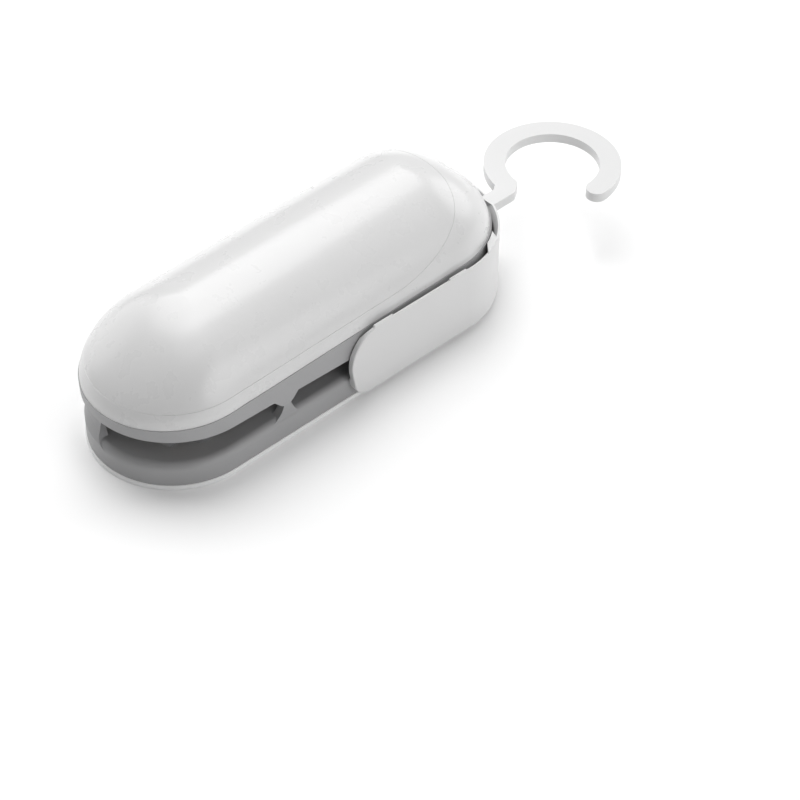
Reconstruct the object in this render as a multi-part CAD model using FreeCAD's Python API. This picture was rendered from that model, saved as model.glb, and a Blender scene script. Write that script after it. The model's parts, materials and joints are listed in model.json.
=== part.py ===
import FreeCAD, Part
import math
import os

from FreeCAD import Vector

# Handheld heat sealer for bags.  Millimetres, +Z up, +Y towards the hanging hook, front of the jaws at -Y.
# The origin is the middle of the underside of the lower jaw, on the surface that it rests on.

# ---- driving dimensions ----
BODY_FRONT = -56.0          # tip of the lower jaw
BODY_REAR = 56.0            # back of the hanger bracket
JAW_HALF_WIDTH = 20.3       # lower jaw
FRONT_CENTRE = BODY_FRONT + JAW_HALF_WIDTH
BRACKET_HALF_WIDTH = 22.2
REAR_CENTRE = BODY_REAR - BRACKET_HALF_WIDTH

# lower jaw
COVER_THICKNESS = 1.2
COVER_HALF_WIDTH = 20.6      # bottom cover, a little wider than the tray on it
DECK_TOP = 7.0
DECK_THICKNESS = 1.4
WALL = 1.5
SHOULDER_RADIUS = 1.8
PAD_TOP = 9.25

# hanger bracket and hook
BRACKET_BOTTOM = 1.4
BRACKET_TOP = 19.5
BRACKET_RELIEF = 20.9       # half-width of the clear space between its arms
BRACKET_TOP_EDGE = 0.45     # width left of its top edge by the chamfer on the inside
BRACKET_CHAMFER = 2.0       # height of that chamfer
LANDS = ((3.7, 9.7, 0.45), (27.0, 32.5, 0.5))   # raised parts of the top edge: from y, to y, height
LUG_TOP = 20.25
LUG_INNER = 20.6
HOOK_X = 7.1
HOOK_Y = 75.9
HOOK_INNER = 11.45
NECK_X = 6.5                # centre of the neck's elbow
NECK_REAR = 60.3
NECK_LEFT = 4.9
HOOK_OUTER = 16.65
HOOK_THICKNESS = 2.4

# hinge between the jaws
HINGE_Y = 38.0
HINGE_Z = 12.0
PIN_RADIUS = 1.25
CLOSE_ANGLE = 1.75          # degrees from rest to the pad

# upper jaw, drawn level and then set at its slope
SLOPE = math.degrees(math.atan(0.0277))
EDGE_HEIGHT = 18.97         # dome edge above the table, at y = 0
TRAY_HALF_WIDTH = 20.6
TRAY_REAR_CENTRE = 33.3
TRAY_EDGE_AT_ORIGIN = -6.43  # lower edge of the tray below the dome edge, at y = 0
TRAY_EDGE_FALL = 0.0636      # how fast the lower edge falls away towards the rear
TRAY_WALL = 1.3
UPPER_DECK_TOP = -1.7
UPPER_DECK_BOTTOM = -2.7
DOME_HALF_WIDTH = 20.4
DOME_REAR_CENTRE = 33.0
DOME_HEIGHT = 16.5
DOME_FRONT_LENGTH = 26.0
DOME_WALL = 1.5
DOME_SIDE_POWER = 1.92
DOME_FRONT_POWER = 1.52
DOME_REAR_POWER = 1.62
RIM_HEIGHT = 3.6            # white rim left below the battery cover
SEAM_RISE_Y = 12.0          # where the cover's seam starts to rise to the rear
SEAM_RADIUS = 43.0
COVER_GAP = 0.05
COVER_STEP = 0.04           # how far the cover lies inside the rim's surface

# batteries, two AA cells side by side
CELL_RADIUS = 7.15
CELL_LENGTH = 50.5
CELL_X = 7.35
CELL_Z = 5.6
CAP_RADIUS = 2.75
CAP_LENGTH = 1.5
BAY_FRONT = -29.0
BAY_REAR = 26.0
PLATE_THICKNESS = 0.4
PLATE_BUMP = 1.0

# heater, under the front of the upper jaw
HEATER_Y = -38.0
HEATER_HALF_LENGTH = 12.5
HEATER_HALF_WIDTH = 2.6
FILM = 0.15
STRIP = 0.3
SEAL_GAP = 0.05             # between film and pad with the jaws shut
PAD_HALF_LENGTH = 12.4

# cutter, ahead of the heater on the right
BLADE_X = 12.95
BLADE_Y = -47.5
BLADE_TURN = 50.0           # degrees from the line of the heater

# micro switch, under the rear of the upper jaw
SWITCH_Y = 20.0
PLUNGER_RADIUS = 1.05
SPRING_Y = 4.0

SWITCH_BOTTOM = 9.8
SWITCH_POST_TOP = 8.75      # top of the post on the lower jaw that works the switch

# blade guard on the lower jaw, degrees about the front arc's centre
GUARD_START = -143.0
GUARD_SWEEP = 59.0
GUARD_EDGE = -92.0          # where the guard's front edge runs out into the jaw's side

# hook ring, degrees
HOOK_TIP_ANGLE = 3.0
HOOK_MOUTH = 100.0

# screws from below
SCREW_X = 12.0
SCREW_ROWS = (-43.5, 40.0)
HOUSING_SCREWS = ((15.4, -32.2), (15.2, 36.0))

FAR = 90.0                  # larger than the object, for cutting blocks

os.makedirs("parts", exist_ok=True)


# ---- small tools ----
def block(x0, x1, y0, y1, z0, z1):
    """A box given by its low and high faces."""
    return Part.makeBox(x1 - x0, y1 - y0, z1 - z0, Vector(x0, y0, z0))


def rod(radius, x, y, z0, z1):
    """An upright cylinder."""
    return Part.makeCylinder(radius, z1 - z0, Vector(x, y, z0))


def cross_rod(radius, x0, x1, y, z):
    """A cylinder along X."""
    return Part.makeCylinder(radius, x1 - x0, Vector(x0, y, z), Vector(1, 0, 0))


def stadium_outline(half_width, front_centre, rear_centre, z0):
    """Straight sides and round ends, the end arcs centred on the given points."""
    right = half_width
    a = Vector(-right, front_centre, z0)
    b = Vector(right, front_centre, z0)
    c = Vector(right, rear_centre, z0)
    d = Vector(-right, rear_centre, z0)
    nose = Part.Arc(a, Vector(0, front_centre - right, z0), b).toShape()
    tail = Part.Arc(c, Vector(0, rear_centre + right, z0), d).toShape()
    return Part.Wire([nose, Part.makeLine(b, c), tail, Part.makeLine(d, a)])


def stadium(half_width, front_centre, rear_centre, z0, z1):
    """A slab with straight sides and round ends."""
    outline = stadium_outline(half_width, front_centre, rear_centre, z0)
    return Part.Face(outline).extrude(Vector(0, 0, z1 - z0))


def side_prism(points, x0, x1):
    """A prism along X whose outline is given as (y, z) corners."""
    corners = [Vector(x0, y, z) for y, z in points]
    outline = Part.makePolygon(corners + corners[:1])
    return Part.Face(outline).extrude(Vector(x1 - x0, 0, 0))


def front_prism(points, y0, y1):
    """A prism along Y whose outline is given as (x, z) corners."""
    corners = [Vector(x, y0, z) for x, z in points]
    outline = Part.makePolygon(corners + corners[:1])
    return Part.Face(outline).extrude(Vector(0, y1 - y0, 0))


def spline(points):
    """A smooth edge through the given points."""
    curve = Part.BSplineCurve()
    curve.interpolate(points)
    return curve.toShape()


def along_x(shape, low, high):
    """The straight edges of a shape that run along X and whose middle is inside the given (y, z) box."""
    found = []
    for edge in shape.Edges:
        middle = edge.CenterOfMass
        inside = low[0] <= middle.y <= high[0] and low[1] <= middle.z <= high[1]
        if inside and abs(edge.BoundBox.XLength - edge.Length) < 1e-6:
            found.append(edge)
    return found


def joined(shapes):
    """One clean solid from pieces that overlap or touch."""
    return shapes[0].multiFuse(shapes[1:]).removeSplitter()


def sloped(shape):
    """Set a piece drawn level with the dome edge at its place on the upper jaw."""
    placed = shape.copy()
    placed.rotate(Vector(0, 0, 0), Vector(1, 0, 0), SLOPE)
    placed.translate(Vector(0, 0, EDGE_HEIGHT))
    return placed


def level_point(y, z):
    """Where a point of the upper jaw is before the jaw is set at its slope, as (y, z)."""
    lean = math.radians(SLOPE)
    height = z - EDGE_HEIGHT
    return y * math.cos(lean) + height * math.sin(lean), height * math.cos(lean) - y * math.sin(lean)


def opened(shape):
    """Turn a piece drawn with the jaws shut to where it is with the jaws open."""
    placed = shape.copy()
    placed.rotate(Vector(0, HINGE_Y, HINGE_Z), Vector(1, 0, 0), -CLOSE_ANGLE)
    return placed


def coil(radius, wire_radius, pitch, height):
    """A round-wire helix about Z, starting at z = 0."""
    path = Part.makeHelix(pitch, height, radius)
    ring = Part.makeCircle(wire_radius, Vector(radius, 0, 0), Vector(0, 1, 0))
    return Part.Wire(path).makePipeShell([Part.Wire(ring)], True, True)


def route(points, wire_radius):
    """A round wire along straight runs joined by tangent arcs."""
    knots = [Vector(*p) for p in points]
    edges = []
    start = knots[0]
    for before, corner, after in zip(knots, knots[1:], knots[2:]):
        back = (before - corner).normalize()
        ahead = (after - corner).normalize()
        turn = math.pi - back.getAngle(ahead)
        shorter = min((before - corner).Length, (after - corner).Length)
        reach = 0.45 * shorter
        radius = reach / math.tan(turn / 2)
        first = corner + back * reach
        last = corner + ahead * reach
        inward = (back + ahead).normalize()
        centre = corner + inward * math.hypot(radius, reach)
        middle = centre - inward * radius
        edges.append(Part.LineSegment(start, first).toShape())
        edges.append(Part.Arc(first, middle, last).toShape())
        start = last
    edges.append(Part.LineSegment(start, knots[-1]).toShape())
    ring = Part.makeCircle(wire_radius, knots[0], knots[1] - knots[0])
    return Part.Wire(edges).makePipeShell([Part.Wire(ring)], True, False)


def save(name, shape):
    """Write one node."""
    solids = shape.Solids
    assert solids and all(s.isValid() and s.isClosed() for s in solids), name
    node = Part.makeCompound(solids) if len(solids) > 1 else solids[0]
    node.exportStep("parts/" + name + ".step")


# ---- the dome of the upper jaw ----
def end_reach(angle, half_width, offset):
    """How far the round end's outline is from the crown's pole, in a direction measured from the tip."""
    if math.tan(angle) * offset > half_width:
        return half_width / math.sin(angle)
    return offset * math.cos(angle) + math.sqrt(half_width ** 2 - (offset * math.sin(angle)) ** 2)


def end_cap(facing, centre, offset, half_width, height, end_power):
    """A rounded end of the dome.  Facing is -1 at the front and +1 at the rear."""
    pole = centre - facing * offset
    angles = [math.radians(a) for a in range(-90, 91, 10)]
    rises = [math.radians(a) for a in (0, 8, 18, 30, 42, 54, 66, 78, 90)]
    grid = []
    for angle in angles:
        reach = end_reach(abs(angle), half_width, offset)
        power = DOME_SIDE_POWER + (end_power - DOME_SIDE_POWER) * math.cos(angle) ** 2
        row = []
        for rise in rises:
            out = reach * max(math.cos(rise), 0.0) ** (2 / power)
            up = height * math.sin(rise) ** (2 / power)
            row.append(Vector(out * math.sin(angle), pole + facing * out * math.cos(angle), up))
        row[-1] = Vector(0, pole, height)
        grid.append(row)
    surface = Part.BSplineSurface()
    surface.interpolate(grid)
    return surface.toShape(), pole


def dome(inset):
    """The solid inside the dome's surface, moved in by the given distance, drawn level on z = 0."""
    half_width = DOME_HALF_WIDTH - inset
    height = DOME_HEIGHT - inset
    offset = DOME_FRONT_LENGTH - DOME_HALF_WIDTH
    front, front_pole = end_cap(-1, FRONT_CENTRE, offset, half_width, height, DOME_FRONT_POWER)
    rear, rear_pole = end_cap(1, DOME_REAR_CENTRE, 0.0, half_width, height, DOME_REAR_POWER)
    faces = [front, rear]
    outline = []
    for side in (-1, 1):
        ribs = []
        for cap in (front, rear):
            ribs += [e for e in cap.Edges if e.BoundBox.ZMax > 1 and e.CenterOfMass.x * side > 1]
        faces.append(Part.makeRuledSurface(ribs[0], ribs[1]))
        ends = [Vector(side * half_width, pole, 0) for pole in (front_pole, rear_pole)]
        outline.append(Part.makeLine(ends[0], ends[1]))
    for cap in (front, rear):
        outline += [e for e in cap.Edges if e.Length > 0.01 and e.BoundBox.ZMax < 0.01]
    faces.append(Part.Face(Part.Wire(Part.__sortEdges__(outline))))
    shell = Part.makeShell(faces)
    shell.sewShape()
    return Part.makeSolid(shell)


def battery_cover_space():
    """Everything above the seam of the battery cover, which rises along an arc to the rear."""
    def on_arc(degrees):
        turn = math.radians(degrees)
        rise = SEAM_RADIUS * (1 - math.cos(turn))
        return Vector(-FAR, SEAM_RISE_Y + SEAM_RADIUS * math.sin(turn), RIM_HEIGHT + rise)

    low_front = Vector(-FAR, -FAR, RIM_HEIGHT)
    top_rear = Vector(-FAR, on_arc(60).y, FAR)
    top_front = Vector(-FAR, -FAR, FAR)
    edges = [
        Part.makeLine(low_front, on_arc(0)),
        Part.Arc(on_arc(0), on_arc(30), on_arc(60)).toShape(),
        Part.makeLine(on_arc(60), top_rear),
        Part.makeLine(top_rear, top_front),
        Part.makeLine(top_front, low_front),
    ]
    return Part.Face(Part.Wire(edges)).extrude(Vector(2 * FAR, 0, 0))


def white_shells():
    """The battery cover and the fixed upper housing, cut from one dome along the cover's seam."""
    inside = dome(DOME_WALL)
    space = battery_cover_space()
    gap = space.copy()
    gap.translate(Vector(0, 0, -COVER_GAP))
    behind = space.copy()
    behind.translate(Vector(0, COVER_GAP, 0))
    cover = dome(COVER_STEP).cut(inside).common(space)
    housing = dome(0).cut(inside).cut(gap).cut(behind)
    pieces = [housing]
    for side in (-1, 1):
        for x, y in HOUSING_SCREWS:
            low, high = sorted((side * (x + 1), side * 19.3))
            pieces.append(rod(2.4, side * x, y, UPPER_DECK_TOP + 0.05, 3.2))
            pieces.append(block(low, high, y - 1, y + 1, 0.2, 3.2))
    housing = joined(pieces)
    for side in (-1, 1):
        for x, y in HOUSING_SCREWS:
            housing = housing.cut(rod(1.05, side * x, y, -2, 2.8))
    # tongue inside the cover's front edge, that drops in behind the rim
    liner = dome(DOME_WALL + 0.2).cut(dome(DOME_WALL + 1.2))
    liner = liner.common(block(-7, 7, -FAR, FRONT_CENTRE, 2.6, 6.0))
    root = dome(DOME_WALL - 0.1).cut(dome(DOME_WALL + 1.2))
    root = root.common(block(-7, 7, -FAR, FRONT_CENTRE, RIM_HEIGHT + 0.1, 6.0))
    return joined([cover, root, liner]), housing


# ---- the grey tray of the upper jaw ----
def tray_edge_block(lift):
    """Everything below the tray's slanting lower edge."""
    level = TRAY_EDGE_AT_ORIGIN + lift
    rise = TRAY_EDGE_FALL * FAR
    return side_prism([(-FAR, level + rise), (FAR, level - rise), (FAR, -FAR), (-FAR, -FAR)], -FAR, FAR)


def stop_nubs():
    """A rounded nub under each long side of the upper tray, that stops the bag's edge."""
    nub = side_prism([(-26.2, -4.2), (-24.2, -5.1), (-22.4, -7.2), (-21.4, -7.6), (-20.1, -7.6),
                      (-19.2, -7.0), (-17.6, -5.4), (-16.8, -4.2)], -TRAY_HALF_WIDTH, TRAY_HALF_WIDTH)
    inner = TRAY_HALF_WIDTH - TRAY_WALL
    return nub.cut(block(-inner, inner, -30, -10, -12, 0))


def upper_tray():
    rim = stadium(TRAY_HALF_WIDTH, FRONT_CENTRE, TRAY_REAR_CENTRE, -12, 0)
    rim = rim.cut(stadium(TRAY_HALF_WIDTH - TRAY_WALL, FRONT_CENTRE, TRAY_REAR_CENTRE, -13, 1))
    rim = rim.cut(tray_edge_block(0))
    deck = stadium(TRAY_HALF_WIDTH - 0.5, FRONT_CENTRE, TRAY_REAR_CENTRE, UPPER_DECK_BOTTOM, UPPER_DECK_TOP)
    lip = stadium(DOME_HALF_WIDTH - DOME_WALL - 0.15, FRONT_CENTRE, DOME_REAR_CENTRE, -2, 1.0)
    lip = lip.cut(stadium(DOME_HALF_WIDTH - DOME_WALL - 1.15, FRONT_CENTRE, DOME_REAR_CENTRE, -2.2, 1.2))
    for side in (-1, 1):
        for x, y in HOUSING_SCREWS:
            lip = lip.cut(rod(2.7, side * x, y, -3, 3))
            lip = lip.cut(block(side * 17.9 - 2, side * 17.9 + 2, y - 1.3, y + 1.3, -3, 3))
    walls = [
        block(-12.4, 12.4, BAY_FRONT - 1.2, BAY_FRONT, -2, 6.5),
        block(-14.5, 14.5, BAY_REAR, BAY_REAR + 1.2, -2, 6.5),
        block(-0.15, 0.15, BAY_FRONT, BAY_REAR, -2, 0.5),
    ]
    hinge_y, hinge_z = level_point(HINGE_Y, HINGE_Z)
    for side in (-1, 1):
        low, high = sorted((side * 8.5, side * 12.0))
        walls.append(block(low, high, hinge_y - 3, hinge_y + 3, hinge_z, -2))
        walls.append(cross_rod(3.0, low, high, hinge_y, hinge_z))
        low, high = sorted((side * 6.6, side * 7.6))
        walls.append(block(low, high, SWITCH_Y - 2.5, SWITCH_Y + 2.5, -7.0, -2))
    spring_seat = rod(2.2, 0, SPRING_Y, -4.2, -2)
    tray = joined([rim, deck, lip, spring_seat] + walls + [stop_nubs()])
    tray = tray.cut(cross_rod(PIN_RADIUS + 0.05, -14, 14, hinge_y, hinge_z))
    for side in (-1, 1):
        for x, y in HOUSING_SCREWS:
            tray = tray.cut(rod(1.3, side * x, y, -3, 0))
        tab = side * (HEATER_HALF_LENGTH + 0.6)
        tray = tray.cut(block(tab - 0.5, tab + 0.5, -39.7, -36.3, -3, 0))
    tray = tray.cut(on_cutter(block(-1.6, 1.6, -0.3, 0.3, -3, 1.5)))
    # slot in the deck that the blade guard of the lower jaw enters
    guard = stadium(19.3, FRONT_CENTRE, 0, -3, -1).cut(stadium(17.2, FRONT_CENTRE, 0, -4, 0))
    return tray.cut(guard.common(guard_sector(-4, 1, 3)))


def guard_sector(z0, z1, extra):
    """The sector round the front left that the blade guard takes up, widened by some degrees."""
    foot = Vector(0, FRONT_CENTRE, z0)
    sector = Part.makeCylinder(30, z1 - z0, foot, Vector(0, 0, 1), GUARD_SWEEP + 2 * extra)
    sector.rotate(Vector(0, FRONT_CENTRE, 0), Vector(0, 0, 1), GUARD_START - extra)
    return sector


# ---- the lower jaw ----
def lower_tray():
    outer = stadium(JAW_HALF_WIDTH, FRONT_CENTRE, REAR_CENTRE, COVER_THICKNESS, DECK_TOP)
    crest = [e for e in outer.Edges if e.BoundBox.ZMin > DECK_TOP - 0.01]
    outer = outer.makeFillet(SHOULDER_RADIUS, crest)
    ceiling = DECK_TOP - DECK_THICKNESS
    hollow = stadium(JAW_HALF_WIDTH - WALL, FRONT_CENTRE, REAR_CENTRE, COVER_THICKNESS - 1, ceiling)
    posts = []
    for side in (-1, 1):
        posts.append(stop_post(side))
        low, high = sorted((side * 12.4, side * 16.0))
        posts.append(block(low, high, HINGE_Y - 3, HINGE_Y + 3, DECK_TOP - 1, HINGE_Z))
        posts.append(cross_rod(3.0, low, high, HINGE_Y, HINGE_Z))
    posts.append(rod(2.2, 0, SPRING_Y, DECK_TOP - 1, DECK_TOP + 1.6))
    posts.append(rod(1.8, 0, SWITCH_Y, DECK_TOP - 1, SWITCH_POST_TOP))
    bosses = []
    for side in (-1, 1):
        for y in SCREW_ROWS:
            bosses.append(rod(2.6, side * SCREW_X, y, COVER_THICKNESS + 1.45, DECK_TOP - 1))
    tray = joined([outer.cut(hollow)] + posts + bosses + [blade_guard()])
    tray = tray.cut(cross_rod(PIN_RADIUS + 0.01, -30, 30, HINGE_Y, HINGE_Z))
    for side in (-1, 1):
        tray = tray.cut(rod(1.3, side * 8, HEATER_Y, 0, 9))
        for y in SCREW_ROWS:
            tray = tray.cut(rod(1.05, side * SCREW_X, y, 0, DECK_TOP - 1.3))
    return tray


def stop_post(side):
    """A slim post below the upper jaw's nub, that flares out to the jaw's side at its foot."""
    top = 10.2
    foot = 4.5
    inner = 17.4
    front = [(-27.0, foot), (-25.6, 5.7), (-24.2, 6.3), (-22.8, 6.9), (-21.6, 7.6), (-20.8, 8.5),
             (-20.4, 9.4), (-20.3, top)]
    rear = [(-18.6, top), (-18.4, 9.1), (-18.0, 7.9), (-17.3, 6.6), (-16.5, 5.7), (-15.6, foot)]
    front_edge = spline([Vector(0, y, z) for y, z in front])
    rear_edge = spline([Vector(0, y, z) for y, z in rear])
    cap = Part.makeLine(Vector(0, *front[-1]), Vector(0, *rear[0]))
    base = Part.makeLine(Vector(0, *rear[-1]), Vector(0, *front[0]))
    profile = Part.Face(Part.Wire([front_edge, cap, rear_edge, base]))
    along = profile.extrude(Vector(side * JAW_HALF_WIDTH, 0, 0))
    flare = [(JAW_HALF_WIDTH, 5.2), (20.05, 6.0), (19.65, 6.9), (19.35, 7.9), (19.15, 9.2), (19.1, top)]
    outer_edge = spline([Vector(side * x, -30, z) for x, z in flare])
    rest = ((19.1, top), (inner, top), (inner, foot), (JAW_HALF_WIDTH, foot), (JAW_HALF_WIDTH, 5.2))
    corners = [Vector(side * x, -30, z) for x, z in rest]
    sides = [Part.makeLine(a, b) for a, b in zip(corners, corners[1:])]
    across = Part.Face(Part.Wire([outer_edge] + sides)).extrude(Vector(0, 20, 0))
    return along.common(across)


def blade_guard():
    """A curved wall round the front left of the lower jaw, flaring out to the jaw's side."""
    rim = [(17.4, 5.8), (17.4, 13.5), (18.3, 13.5), (18.65, 10.4), (19.15, 8.6), (20.3, 6.2), (20.3, 4.6),
           (18.6, 4.6)]
    corners = [Vector(r, FRONT_CENTRE, z) for r, z in rim]
    face = Part.Face(Part.makePolygon(corners + corners[:1]))
    wall = face.revolve(Vector(0, FRONT_CENTRE, 0), Vector(0, 0, 1), GUARD_SWEEP)
    wall.rotate(Vector(0, FRONT_CENTRE, 0), Vector(0, 0, 1), GUARD_START)
    edge = [(-2.12, 14.0), (-1.99, 10.0), (-1.92, 8.4), (-1.59, 7.4), (-0.99, 6.7), (0.0, 6.0), (1.33, 5.4),
            (2.65, 5.0)]
    front_edge = spline([Vector(15, t, z) for t, z in edge])
    corners = [Vector(15, t, z) for t, z in (edge[-1], (9.0, 5.0), (9.0, 14.0), edge[0])]
    sides = [Part.makeLine(a, b) for a, b in zip(corners, corners[1:])]
    open_side = Part.Face(Part.Wire([front_edge] + sides)).extrude(Vector(8, 0, 0))
    open_side.rotate(Vector(0, 0, 0), Vector(0, 0, 1), GUARD_EDGE)
    open_side.translate(Vector(0, FRONT_CENTRE, 0))
    return wall.cut(open_side)


def bottom_cover():
    plate = stadium(COVER_HALF_WIDTH, FRONT_CENTRE, REAR_CENTRE, 0, COVER_THICKNESS)
    plate = plate.makeFillet(0.2, [e for e in plate.Edges if e.BoundBox.ZLength < 0.01])
    inner = JAW_HALF_WIDTH - WALL - 0.1
    lip = stadium(inner, FRONT_CENTRE, REAR_CENTRE, COVER_THICKNESS - 0.2, COVER_THICKNESS + 1.2)
    lip = lip.cut(stadium(inner - 1, FRONT_CENTRE, REAR_CENTRE, 0, 5))
    pieces = [plate, lip]
    for side in (-1, 1):
        for y in SCREW_ROWS:
            pieces.append(rod(3.4, side * SCREW_X, y, COVER_THICKNESS - 0.2, COVER_THICKNESS + 1.4))
    cover = joined(pieces)
    for side in (-1, 1):
        for y in SCREW_ROWS:
            cover = cover.cut(rod(2.4, side * SCREW_X, y, -1, 1.6))
            cover = cover.cut(rod(1.2, side * SCREW_X, y, -1, 4))
    return cover


def screw(x, y, z_head, z_under, z_tip, side_cross):
    """A pan-head screw about Z with a cross recess.  The head's outer face is at z_head."""
    head = rod(2.2, x, y, min(z_head, z_under), max(z_head, z_under))
    shank = rod(1.0, x, y, min(z_under, z_tip), max(z_under, z_tip))
    body = joined([head, shank])
    depth = 0.5
    top = z_head - depth if z_head > z_under else z_head
    for long_x, long_y in ((side_cross, 0.35), (0.35, side_cross)):
        body = body.cut(block(x - long_x, x + long_x, y - long_y, y + long_y, top - 0.01, top + depth))
    return body


def bottom_screws():
    found = []
    for side in (-1, 1):
        for y in SCREW_ROWS:
            found.append(screw(side * SCREW_X, y, 0.35, 1.6, 5.4, 1.3))
    return Part.makeCompound(found)


def tray_screws():
    found = []
    for side in (-1, 1):
        for x, y in HOUSING_SCREWS:
            found.append(screw(side * x, y, UPPER_DECK_BOTTOM - 1.2, UPPER_DECK_BOTTOM, 2.6, 1.3))
    return Part.makeCompound(found)


def pad_holder():
    rail = stadium(3.1, -11.2, 11.2, DECK_TOP, PAD_TOP - 0.55)
    rail.rotate(Vector(0, 0, 0), Vector(0, 0, 1), 90)
    rail.translate(Vector(0, HEATER_Y, 0))
    pocket = PAD_HALF_LENGTH + 0.1
    rail = rail.cut(block(-pocket, pocket, HEATER_Y - 2.0, HEATER_Y + 2.0, DECK_TOP + 0.6, PAD_TOP))
    pegs = [rod(1.2, side * 8, HEATER_Y, DECK_TOP - 2.2, DECK_TOP + 0.3) for side in (-1, 1)]
    return joined([rail] + pegs)


def silicone_pad():
    pad = block(-PAD_HALF_LENGTH, PAD_HALF_LENGTH, HEATER_Y - 1.9, HEATER_Y + 1.9, DECK_TOP + 0.6, PAD_TOP)
    return pad.makeFillet(0.5, along_x(pad, (HEATER_Y - 3, PAD_TOP - 0.1), (HEATER_Y + 3, PAD_TOP + 0.1)))


# ---- hanger bracket with its hook ----
def hanger_bracket():
    """A band round the rear of the lower jaw, with rounded arms and a flat open hook."""
    band = stadium(BRACKET_HALF_WIDTH, -FAR, REAR_CENTRE, BRACKET_BOTTOM, FAR)
    band = band.cut(stadium(JAW_HALF_WIDTH, -FAR, REAR_CENTRE, 0, DECK_TOP - 0.2))
    band = band.cut(stadium(BRACKET_RELIEF, -FAR, REAR_CENTRE, DECK_TOP - 0.3, FAR))
    edge = BRACKET_HALF_WIDTH - BRACKET_TOP_EDGE
    low = stadium_outline(BRACKET_RELIEF, -FAR, REAR_CENTRE, BRACKET_TOP - BRACKET_CHAMFER)
    high = stadium_outline(edge, -FAR, REAR_CENTRE, BRACKET_TOP)
    band = band.cut(Part.makeLoft([low, high], True, True))
    band = band.cut(stadium(edge, -FAR, REAR_CENTRE, BRACKET_TOP - 0.01, FAR))
    arm = side_prism([(FAR, BRACKET_BOTTOM), (-1.4, BRACKET_BOTTOM), (-4.6, BRACKET_TOP), (FAR, BRACKET_TOP)],
                     -30, 30)
    arm = arm.makeFillet(9.0, along_x(arm, (-5, BRACKET_TOP - 0.1), (-4, BRACKET_TOP + 0.1)))
    arm = arm.makeFillet(4.5, along_x(arm, (-2, BRACKET_BOTTOM - 0.1), (-1, BRACKET_BOTTOM + 0.1)))
    lands = [side_prism([(y0, BRACKET_TOP - 1), (y1, BRACKET_TOP - 1), (y1 - 0.2, BRACKET_TOP + rise),
                         (y0 + 0.2, BRACKET_TOP + rise)], -30, 30) for y0, y1, rise in LANDS]
    band = band.common(joined([arm] + lands))
    skin = [e for e in band.Edges if on_outer_face(e) and e.BoundBox.ZMin < BRACKET_TOP - 0.1]
    band = band.makeFillet(0.3, skin)
    return joined([band] + [corner_lug(side) for side in (-1, 1)] + hook())


def on_outer_face(edge):
    """Whether an edge of the band lies in its outer face, but isn't one of the arc's own ends."""
    spots = [edge.valueAt(p) for p in (edge.FirstParameter, sum(edge.ParameterRange) / 2, edge.LastParameter)]
    reach = [math.hypot(p.x, max(p.y - REAR_CENTRE, 0)) for p in spots]
    upright = abs(edge.BoundBox.YLength) < 0.01
    return min(reach) > BRACKET_HALF_WIDTH - 0.01 and not upright


def corner_lug(side):
    """A raised lug that fills the gap to the upper jaw at a rear corner."""
    plan = [(13.0, 47.6), (18.4, 45.4), (24.0, 46.0), (24.0, 40.3), (21.1, 40.3), (16.9, 43.8)]
    corners = [Vector(side * x, y, BRACKET_TOP - BRACKET_CHAMFER - 0.5) for x, y in plan]
    wedge = Part.Face(Part.makePolygon(corners + corners[:1])).extrude(Vector(0, 0, LUG_TOP - corners[0].z))
    ring = stadium(BRACKET_HALF_WIDTH, 0, REAR_CENTRE, 0, FAR).cut(stadium(LUG_INNER, 0, REAR_CENTRE, 0, FAR))
    return wedge.common(ring)


def hook():
    """A flat question mark: a neck, and a ring that is open on its lower right."""
    z0 = BRACKET_TOP - HOOK_THICKNESS
    ring = rod(HOOK_OUTER, HOOK_X, HOOK_Y, z0, BRACKET_TOP).cut(rod(HOOK_INNER, HOOK_X, HOOK_Y, 0, FAR))
    mouth = Part.makeCylinder(30, 10, Vector(HOOK_X, HOOK_Y, z0 - 1), Vector(0, 0, 1), HOOK_MOUTH)
    mouth.rotate(Vector(HOOK_X, HOOK_Y, 0), Vector(0, 0, 1), HOOK_TIP_ANGLE - HOOK_MOUTH)
    middle = (HOOK_INNER + HOOK_OUTER) / 2
    half = (HOOK_OUTER - HOOK_INNER) / 2
    ends = []
    for angle in (HOOK_TIP_ANGLE, HOOK_TIP_ANGLE - HOOK_MOUTH):
        turn = math.radians(angle)
        end_x = HOOK_X + middle * math.cos(turn)
        end_y = HOOK_Y + middle * math.sin(turn)
        ends.append(rod(half, end_x, end_y, z0, BRACKET_TOP))
    elbow = rod(half, NECK_X, NECK_REAR, z0, BRACKET_TOP)
    along = Vector(end_x - NECK_X, end_y - NECK_REAR, 0).normalize() * half
    across = Vector(-along.y, along.x, 0)
    elbow_at = Vector(NECK_X, NECK_REAR, z0)
    root_at = Vector(end_x, end_y, z0)
    corners = [elbow_at + across, root_at + across, root_at - across, elbow_at - across]
    bend = Part.Face(Part.makePolygon(corners + corners[:1])).extrude(Vector(0, 0, HOOK_THICKNESS))
    neck = block(NECK_LEFT, NECK_X + half, BODY_REAR - 2.3, NECK_REAR, z0, BRACKET_TOP)
    neck = neck.cut(stadium(BRACKET_RELIEF, 0, REAR_CENTRE, 0, FAR))
    return [ring.cut(mouth)] + ends + [elbow, bend, neck]


# ---- hinge, spring and switch ----
def hinge_pin():
    pin = cross_rod(PIN_RADIUS, -17.0, 17.0, HINGE_Y, HINGE_Z)
    return joined([pin, cross_rod(2.1, -17.4, -16.1, HINGE_Y, HINGE_Z)])


def pin_washer():
    washer = cross_rod(2.6, 16.1, 16.6, HINGE_Y, HINGE_Z)
    return washer.cut(cross_rod(PIN_RADIUS + 0.01, 15, 18, HINGE_Y, HINGE_Z))


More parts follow.
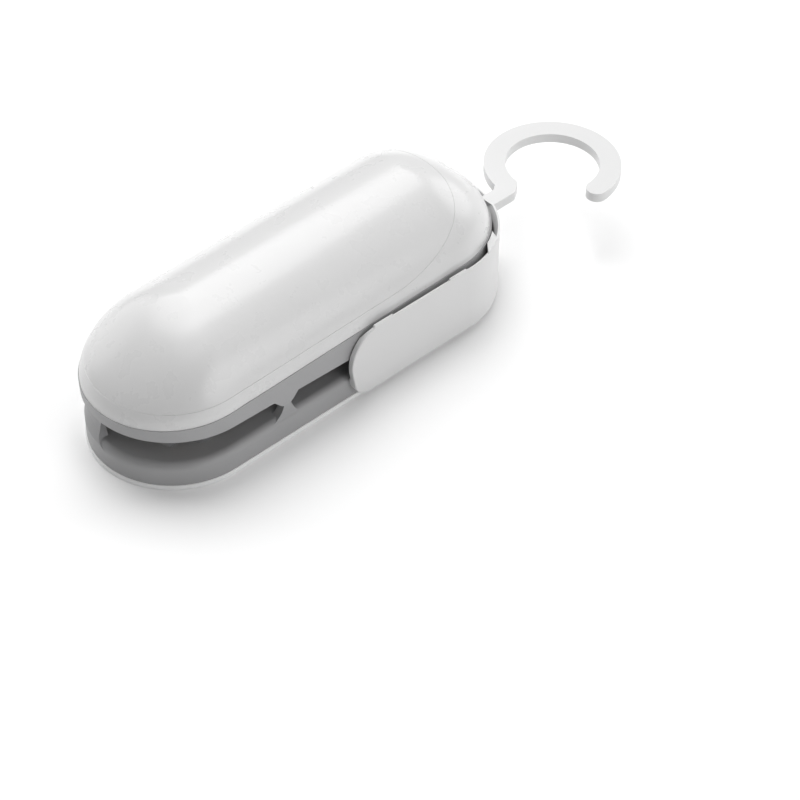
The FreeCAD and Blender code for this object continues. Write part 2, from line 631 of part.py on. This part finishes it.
def return_spring():
    low = DECK_TOP + 0.45
    high = EDGE_HEIGHT + 0.0277 * SPRING_Y + UPPER_DECK_BOTTOM - 0.5
    turns = coil(2.95, 0.35, 1.5, high - low)
    turns.translate(Vector(0, SPRING_Y, low))
    return turns


def micro_switch():
    body = block(-6.4, 6.4, SWITCH_Y - 2.9, SWITCH_Y + 2.9, SWITCH_BOTTOM, 30)
    level = sloped(block(-10, 10, SWITCH_Y - 9, SWITCH_Y + 9, UPPER_DECK_BOTTOM, 30))
    body = body.cut(level)
    pins = [block(x - 0.25, x + 0.25, SWITCH_Y - 0.6, SWITCH_Y + 0.6, SWITCH_BOTTOM + 3, SWITCH_BOTTOM + 10)
            for x in (-5.0, 0.0, 5.0)]
    room = sloped(block(-10, 10, 0, 40, UPPER_DECK_BOTTOM - 3, UPPER_DECK_BOTTOM))
    pins = [pin.common(room) for pin in pins]
    body = joined([body] + pins)
    return body.cut(rod(PLUNGER_RADIUS + 0.05, 0, SWITCH_Y, SWITCH_BOTTOM - 1, SWITCH_BOTTOM + 2.6))


def switch_plunger():
    stem = rod(PLUNGER_RADIUS, 0, SWITCH_Y, SWITCH_POST_TOP + 0.05, SWITCH_BOTTOM + 1.4)
    foot = [e for e in stem.Edges if e.BoundBox.ZMax < SWITCH_POST_TOP + 0.1]
    return stem.makeFillet(0.5, foot)


# ---- heater ----
def below_deck(shape):
    """Trim a piece of the heater at the underside of the upper deck."""
    return shape.cut(sloped(block(-FAR, FAR, -FAR, FAR, UPPER_DECK_BOTTOM, FAR)))


def heater_block():
    low = PAD_TOP + SEAL_GAP + FILM + STRIP
    body = block(-HEATER_HALF_LENGTH, HEATER_HALF_LENGTH, HEATER_Y - HEATER_HALF_WIDTH,
                 HEATER_Y + HEATER_HALF_WIDTH, low, low + 12)
    return below_deck(opened(body))


def heating_strip():
    low = PAD_TOP + SEAL_GAP + FILM
    reach = HEATER_HALF_LENGTH + STRIP
    flat = block(-reach, reach, HEATER_Y - 1.2, HEATER_Y + 1.2, low, low + STRIP)
    ends = [block(min(s * HEATER_HALF_LENGTH, s * reach), max(s * HEATER_HALF_LENGTH, s * reach),
                  HEATER_Y - 1.2, HEATER_Y + 1.2, low, low + 2.8) for s in (-1, 1)]
    return opened(joined([flat] + ends))


def heater_film():
    """Non-stick film wrapped under the heater block."""
    low = PAD_TOP + SEAL_GAP
    side = HEATER_HALF_WIDTH + FILM
    reach = HEATER_HALF_LENGTH - 0.5
    wrap = block(-reach, reach, HEATER_Y - side, HEATER_Y + side, low, low + 2.6)
    front = HEATER_Y - HEATER_HALF_WIDTH
    back = HEATER_Y + HEATER_HALF_WIDTH
    wrap = wrap.cut(block(-20, 20, front, back, low + FILM + STRIP, 20))
    return opened(wrap.cut(block(-20, 20, HEATER_Y - 1.2, HEATER_Y + 1.2, low + FILM, 20)))


def strip_terminal(side):
    """A brass tab beside the heater block, that carries the strip's end up through the deck."""
    inner = side * (HEATER_HALF_LENGTH + STRIP)
    low, high = sorted((inner, inner + side * 0.6))
    tab = opened(block(low, high, HEATER_Y - 1.5, HEATER_Y + 1.5, PAD_TOP + 1.6, PAD_TOP + 12))
    return tab.cut(sloped(block(-FAR, FAR, -FAR, 0, 0.2, FAR)))


# ---- batteries and contacts, drawn level ----
def cell(x, facing):
    """An AA cell along Y with its cap towards the facing end."""
    contact = PLATE_THICKNESS + PLATE_BUMP
    cap_end = BAY_REAR - contact if facing > 0 else BAY_FRONT + contact
    axis = Vector(0, -facing, 0)
    shoulder = Vector(x, cap_end - facing * CAP_LENGTH, CELL_Z)
    can = Part.makeCylinder(CELL_RADIUS, CELL_LENGTH - CAP_LENGTH, shoulder, axis)
    rims = [e for e in can.Edges if e.BoundBox.YLength < 0.01]
    can = can.makeFillet(0.5, rims)
    cap = Part.makeCylinder(CAP_RADIUS, CAP_LENGTH + 0.5, Vector(x, cap_end, CELL_Z), axis)
    return joined([can, cap])


def contact_plate(x, facing, end_y, inward):
    """A nickelled plate at an end of the battery bay, with a bump where it meets a cell's cap."""
    y0, y1 = sorted((end_y, end_y + inward * PLATE_THICKNESS))
    plate = block(x - 4.2, x + 4.2, y0, y1, UPPER_DECK_TOP, CELL_Z + 4.5)
    if facing:
        start = Vector(x, end_y, CELL_Z)
        bump = Part.makeCone(3.0, 2.2, PLATE_THICKNESS + PLATE_BUMP, start, Vector(0, inward, 0))
        plate = joined([plate, bump])
    return plate


def link_plate():
    """One plate across the front of the bay that joins the two cells in series."""
    left = contact_plate(-CELL_X, True, BAY_FRONT, 1)
    right = contact_plate(CELL_X, False, BAY_FRONT, 1)
    bridge = block(-CELL_X, CELL_X, BAY_FRONT, BAY_FRONT + PLATE_THICKNESS, CELL_Z - 2, CELL_Z + 3)
    return joined([left, right, bridge])


def contact_spring(x, plate_y, inward):
    """The coil that presses on a cell's flat end."""
    height = 1.94
    turns = coil(2.55, 0.3, 0.97, height)
    turns.rotate(Vector(0, 0, 0), Vector(1, 0, 0), -90)
    turns.translate(Vector(x, plate_y + inward * 0.33 + min(inward, 0) * height, CELL_Z))
    return turns


# ---- wires, drawn level ----
def wires():
    """Three leads: battery to switch, switch to heater, and battery to heater."""
    lead = 0.55
    rear = BAY_REAR + 1.9
    floor = UPPER_DECK_TOP + lead + 0.05
    return {
        "wire_battery_to_switch": route([(-10.5, rear, 3.0), (-10.5, 31.5, 2.2), (-7.0, 33.0, 0.4),
                                         (-3.0, 31.0, floor)], lead),
        "wire_battery_to_heater": route([(10.5, rear, 3.0), (12.0, 31.5, 1.6), (16.4, 30.0, floor),
                                         (16.9, 18.0, floor), (16.9, -10.0, floor),
                                         (16.7, -22.0, floor)], lead),
        "wire_switch_to_heater": route([(3.0, 31.0, floor), (0.0, 35.5, floor + 0.6),
                                        (-9.0, 36.0, floor + 0.6), (-15.6, 29.5, floor),
                                        (-16.9, 16.0, floor), (-16.9, -10.0, floor),
                                        (-16.7, -22.0, floor)], lead),
    }


# ---- cutter, drawn level ----
def on_cutter(shape):
    """Move a piece drawn about the cutter's tip to its place on the upper jaw."""
    placed = shape.copy()
    placed.rotate(Vector(0, 0, 0), Vector(0, 0, 1), BLADE_TURN)
    placed.translate(Vector(BLADE_X, BLADE_Y, 0))
    return placed


def cutter_blade():
    outline = [(-1.5, 1.2), (-1.5, -3.0), (-1.9, -3.0), (-1.9, -6.1), (0.0, -7.6), (1.9, -6.1), (1.9, -3.0),
               (1.5, -3.0), (1.5, 1.2)]
    return on_cutter(front_prism(outline, -0.2, 0.2))


def blade_clamp():
    return on_cutter(block(-1.5, 1.5, 0.2, 2.3, UPPER_DECK_TOP, 1.0))


cover, housing = white_shells()
save("battery_cover", sloped(cover))
save("upper_housing", sloped(housing))
save("upper_tray", sloped(upper_tray()))
save("tray_screws", sloped(tray_screws()))
save("lower_tray", lower_tray())
save("bottom_cover", bottom_cover())
save("bottom_screws", bottom_screws())
save("pad_holder", pad_holder())
save("silicone_pad", silicone_pad())
save("hanger_bracket", hanger_bracket())
save("hinge_pin", hinge_pin())
save("pin_washer", pin_washer())
save("return_spring", return_spring())
save("micro_switch", micro_switch())
save("switch_plunger", switch_plunger())
save("heater_block", heater_block())
save("heating_strip", heating_strip())
save("heater_film", heater_film())
save("strip_terminal_left", strip_terminal(-1))
save("strip_terminal_right", strip_terminal(1))
save("battery_left", sloped(cell(-CELL_X, -1)))
save("battery_right", sloped(cell(CELL_X, 1)))
save("battery_link_plate", sloped(link_plate()))
save("battery_plate_negative", sloped(contact_plate(-CELL_X, False, BAY_REAR, -1)))
save("battery_plate_positive", sloped(contact_plate(CELL_X, True, BAY_REAR, -1)))
save("contact_spring_front", sloped(contact_spring(CELL_X, BAY_FRONT + PLATE_THICKNESS, 1)))
save("contact_spring_rear", sloped(contact_spring(-CELL_X, BAY_REAR - PLATE_THICKNESS, -1)))
for name, wire in wires().items():
    save(name, sloped(wire))
save("cutter_blade", sloped(cutter_blade()))
save("blade_clamp", sloped(blade_clamp()))
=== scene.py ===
import json

import bmesh
import bpy
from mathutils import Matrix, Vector


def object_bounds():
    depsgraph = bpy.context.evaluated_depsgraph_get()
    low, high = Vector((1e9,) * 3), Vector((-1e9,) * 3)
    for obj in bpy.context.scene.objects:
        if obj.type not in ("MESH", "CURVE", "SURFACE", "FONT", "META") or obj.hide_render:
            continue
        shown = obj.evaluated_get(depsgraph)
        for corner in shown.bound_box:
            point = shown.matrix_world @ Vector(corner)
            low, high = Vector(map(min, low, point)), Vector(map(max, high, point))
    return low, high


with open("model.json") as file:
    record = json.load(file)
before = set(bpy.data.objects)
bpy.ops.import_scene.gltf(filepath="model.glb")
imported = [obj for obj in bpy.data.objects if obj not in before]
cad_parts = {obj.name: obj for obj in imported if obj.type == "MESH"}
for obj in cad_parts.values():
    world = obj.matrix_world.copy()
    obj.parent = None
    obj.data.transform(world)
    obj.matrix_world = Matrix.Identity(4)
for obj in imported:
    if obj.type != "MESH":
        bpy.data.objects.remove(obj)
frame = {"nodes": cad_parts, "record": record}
nodes = frame["nodes"]
cad_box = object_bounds()

# ---- camera, in metres and millimetres of lens ----
CAMERA_AT = Vector((0.2934, -0.24134, 0.34177))
LOOK_AT = Vector((0.027994, 0.006126, 0.0))
LENS = 99.0
SENSOR_WIDTH = 36.0
NEAREST_SEEN = 0.01

# ---- floor and lights ----
FLOOR_SIZE = 3.0
FLOOR_CELLS = 8
FLOOR_DROP = 0.00002        # keeps the floor just clear of the underside
LIT_POINT = Vector((0.0, 0.01, 0.01))      # where the lights point
SKY_STRENGTH = 0.2
LIGHTS = (                  # name, direction from the object, diameter in metres, watts
    ("key", (-0.442, 0.2085, 0.872), 1.0, 7.9),
    ("right", (0.9, 0.15, 0.4), 0.8, 2.9),
    ("left", (-0.9, -0.2, 0.35), 0.8, 2.15),
    ("back", (0.1, 0.9, 0.45), 0.8, 2.85),
    ("top", (0.0, 0.0, 1.0), 0.8, 1.4),
)

# ---- surface texture: scales are cells per metre, depths are metres ----
CLOUD_SCALE = 45.0
GLOSS_SCALE = 160.0
GLOSS_SPREAD = 0.012
SKIN_SCALE = 2600.0
SKIN_STRENGTH = 0.1
SKIN_DEPTH = 0.00001
COAT_ROUGHNESS = 0.2
SUBSURFACE_DEPTH = 0.001
MARK_SCALE = 900.0
MARK_DETAIL = 4.0
MARK_ROUGHNESS = 0.6
MARK_STRENGTH = 0.25
MARK_GLOSSIER = 0.07
MARK_DULLER = 0.09
MARK_DEPTH = 0.00001
FLOOR_SCALE = 3.0
FLOOR_ROUGHNESS = 0.6


def place_camera():
    camera = bpy.data.objects.new("camera", bpy.data.cameras.new("camera"))
    bpy.context.scene.collection.objects.link(camera)
    camera.data.lens = LENS
    camera.data.sensor_width = SENSOR_WIDTH
    camera.data.clip_start = NEAREST_SEEN
    camera.location = CAMERA_AT
    camera.rotation_mode = "QUATERNION"
    camera.rotation_quaternion = (LOOK_AT - CAMERA_AT).to_track_quat("-Z", "Y")
    bpy.context.scene.camera = camera


def new_material(name):
    material = bpy.data.materials.new(name)
    material.use_nodes = True
    tree = material.node_tree
    return material, tree, tree.nodes["Principled BSDF"]


def noise(tree, scale, detail=3.0, roughness=0.55, stretch=(1, 1, 1)):
    """Noise in the piece's own coordinates, with scale as cells per metre."""
    place = tree.nodes.new("ShaderNodeTexCoord")
    mapping = tree.nodes.new("ShaderNodeMapping")
    mapping.inputs["Scale"].default_value = stretch
    texture = tree.nodes.new("ShaderNodeTexNoise")
    texture.inputs["Scale"].default_value = scale
    texture.inputs["Detail"].default_value = detail
    texture.inputs["Roughness"].default_value = roughness
    tree.links.new(place.outputs["Object"], mapping.inputs["Vector"])
    tree.links.new(mapping.outputs["Vector"], texture.inputs["Vector"])
    return texture


def ramp(tree, source, low, high, at_low=0.35, at_high=0.65):
    """A ramp over a noise, from one colour to another."""
    node = tree.nodes.new("ShaderNodeValToRGB")
    node.color_ramp.elements[0].position = at_low
    node.color_ramp.elements[1].position = at_high
    node.color_ramp.elements[0].color = (*low, 1.0)
    node.color_ramp.elements[1].color = (*high, 1.0)
    tree.links.new(source, node.inputs["Fac"])
    return node


def grey(value):
    return (value, value, value)


def bump(tree, shader, source, strength, distance):
    node = tree.nodes.new("ShaderNodeBump")
    node.inputs["Strength"].default_value = strength
    node.inputs["Distance"].default_value = distance
    tree.links.new(source, node.inputs["Height"])
    tree.links.new(node.outputs["Normal"], shader.inputs["Normal"])


def plastic(name, dark, light, rough, grain=SKIN_SCALE, coat=0.0, subsurface=0.0):
    """Moulded plastic: faint clouding of the colour, uneven gloss and a fine skin."""
    material, tree, shader = new_material(name)
    cloud = noise(tree, CLOUD_SCALE, 2.0)
    colour = ramp(tree, cloud.outputs["Fac"], dark, light)
    tree.links.new(colour.outputs["Color"], shader.inputs["Base Color"])
    gloss = noise(tree, GLOSS_SCALE, 4.0)
    spread = ramp(tree, gloss.outputs["Fac"], grey(rough - GLOSS_SPREAD), grey(rough + GLOSS_SPREAD))
    tree.links.new(spread.outputs["Color"], shader.inputs["Roughness"])
    skin = noise(tree, grain, 2.0)
    bump(tree, shader, skin.outputs["Fac"], SKIN_STRENGTH, SKIN_DEPTH)
    shader.inputs["Coat Weight"].default_value = coat
    shader.inputs["Coat Roughness"].default_value = COAT_ROUGHNESS
    shader.inputs["Subsurface Weight"].default_value = subsurface
    shader.inputs["Subsurface Scale"].default_value = SUBSURFACE_DEPTH
    return material


def metal(name, dark, light, rough, stretch=(1, 1, 1)):
    """Metal with fine drawn or rolled marks along one direction."""
    material, tree, shader = new_material(name)
    shader.inputs["Metallic"].default_value = 1.0
    marks = noise(tree, MARK_SCALE, MARK_DETAIL, MARK_ROUGHNESS, stretch)
    colour = ramp(tree, marks.outputs["Fac"], dark, light)
    tree.links.new(colour.outputs["Color"], shader.inputs["Base Color"])
    spread = ramp(tree, marks.outputs["Fac"], grey(rough - MARK_GLOSSIER), grey(rough + MARK_DULLER))
    tree.links.new(spread.outputs["Color"], shader.inputs["Roughness"])
    bump(tree, shader, marks.outputs["Fac"], MARK_STRENGTH, MARK_DEPTH)
    return material


MATERIALS = {                # how each material slot of the part looks
    "white_shell": lambda: plastic("white_abs_gloss",
                                   (0.697, 0.697, 0.697), (0.703, 0.703, 0.703), 0.28, coat=0.3),
    "white_bracket": lambda: plastic("white_abs_satin", (0.697, 0.697, 0.697), (0.703, 0.703, 0.703), 0.38),
    # white cover: same white plastic as the shell, but painted lighter (0.88-0.9 against 0.70) as a painted
    # highlight for the light its bottom lip catches; the grain bump is real texture
    "white_cover": lambda: plastic("white_abs_grained_painted_lighter",
                                   (0.88, 0.88, 0.88), (0.9, 0.9, 0.9), 0.45, grain=1800.0),
    "grey_tray": lambda: plastic("grey_abs", (0.335, 0.335, 0.34), (0.36, 0.36, 0.365), 0.42),
    "pad_rail": lambda: plastic("mid_grey_abs", (0.2, 0.2, 0.204), (0.22, 0.22, 0.224), 0.5),
    "pad_rubber": lambda: plastic("silicone", (0.55, 0.52, 0.47), (0.62, 0.59, 0.54), 0.6, subsurface=0.2),
    "heater_body": lambda: plastic("phenolic", (0.03, 0.018, 0.012), (0.05, 0.03, 0.02), 0.45, grain=900.0),
    "heater_foil": lambda: metal("nichrome_foil", (0.38, 0.37, 0.35), (0.5, 0.49, 0.47), 0.35, (1, 12, 12)),
    "film": lambda: plastic("coated_glass_cloth",
                            (0.30, 0.19, 0.09), (0.38, 0.25, 0.12), 0.4, grain=3500.0),
    "brass": lambda: metal("brass", (0.60, 0.43, 0.18), (0.75, 0.56, 0.26), 0.3),
    "nickel_plate": lambda: metal("nickel", (0.55, 0.54, 0.52), (0.68, 0.67, 0.65), 0.25, (8, 8, 1)),
    "screw_steel": lambda: metal("zinc_steel", (0.5, 0.5, 0.5), (0.64, 0.64, 0.63), 0.28),
    "spring_wire": lambda: metal("spring_wire", (0.4, 0.4, 0.4), (0.55, 0.55, 0.55), 0.25),
    "blade_steel": lambda: metal("blade_steel", (0.12, 0.12, 0.122), (0.16, 0.16, 0.163), 0.5, (1, 10, 10)),
    "cell_wrap": lambda: plastic("cell_sleeve", (0.03, 0.06, 0.12), (0.04, 0.08, 0.15), 0.3, coat=0.3),
    "switch_body": lambda: plastic("black_moulding", (0.012, 0.012, 0.012), (0.02, 0.02, 0.02), 0.5),
    "switch_button": lambda: plastic("red_acetal", (0.42, 0.02, 0.015), (0.5, 0.03, 0.02), 0.35),
    "wire_red": lambda: plastic("red_pvc", (0.42, 0.015, 0.012), (0.5, 0.02, 0.016), 0.45),
    "wire_black": lambda: plastic("black_pvc", (0.012, 0.012, 0.012), (0.02, 0.02, 0.02), 0.45),
}


def floor_material():
    material, tree, shader = new_material("pale_floor")
    cloud = noise(tree, FLOOR_SCALE)
    colour = ramp(tree, cloud.outputs["Fac"], grey(0.95), grey(0.965))
    tree.links.new(colour.outputs["Color"], shader.inputs["Base Color"])
    shader.inputs["Roughness"].default_value = FLOOR_ROUGHNESS
    return material


def make_floor():
    mesh = bpy.data.meshes.new("floor")
    shape = bmesh.new()
    bmesh.ops.create_grid(shape, x_segments=FLOOR_CELLS, y_segments=FLOOR_CELLS, size=FLOOR_SIZE / 2)
    shape.to_mesh(mesh)
    floor = bpy.data.objects.new("floor", mesh)
    bpy.context.scene.collection.objects.link(floor)
    floor.location = (0, 0, cad_box[0].z - FLOOR_DROP)
    mesh.materials.append(floor_material())


def area_light(name, direction, size, watts):
    """A round light one metre away, in a direction from the object."""
    at = Vector(direction).normalized()
    light = bpy.data.objects.new(name, bpy.data.lights.new(name, "AREA"))
    light.data.shape = "DISK"
    light.data.size = size
    light.data.energy = watts
    light.location = at
    light.rotation_mode = "QUATERNION"
    light.rotation_quaternion = (LIT_POINT - at).to_track_quat("-Z", "Y")
    bpy.context.scene.collection.objects.link(light)


def make_lights():
    world = bpy.data.worlds.new("studio")
    world.use_nodes = True
    sky = world.node_tree.nodes["Background"]
    sky.inputs["Color"].default_value = (1.0, 1.0, 1.0, 1.0)
    sky.inputs["Strength"].default_value = SKY_STRENGTH
    bpy.context.scene.world = world
    for name, direction, size, watts in LIGHTS:
        area_light(name, direction, size, watts)


def finish_cad_nodes():
    """Give every node of the part the material of its slot."""
    made = {}
    for row in frame["record"]["subparts"]:
        slot = row["material_slot"]
        if slot not in made:
            made[slot] = MATERIALS[slot]()
        node = nodes[row["node"]]
        node.data.materials.clear()
        node.data.materials.append(made[slot])


place_camera()
make_floor()
make_lights()
finish_cad_nodes()
bpy.context.scene.view_settings.view_transform = "Standard"
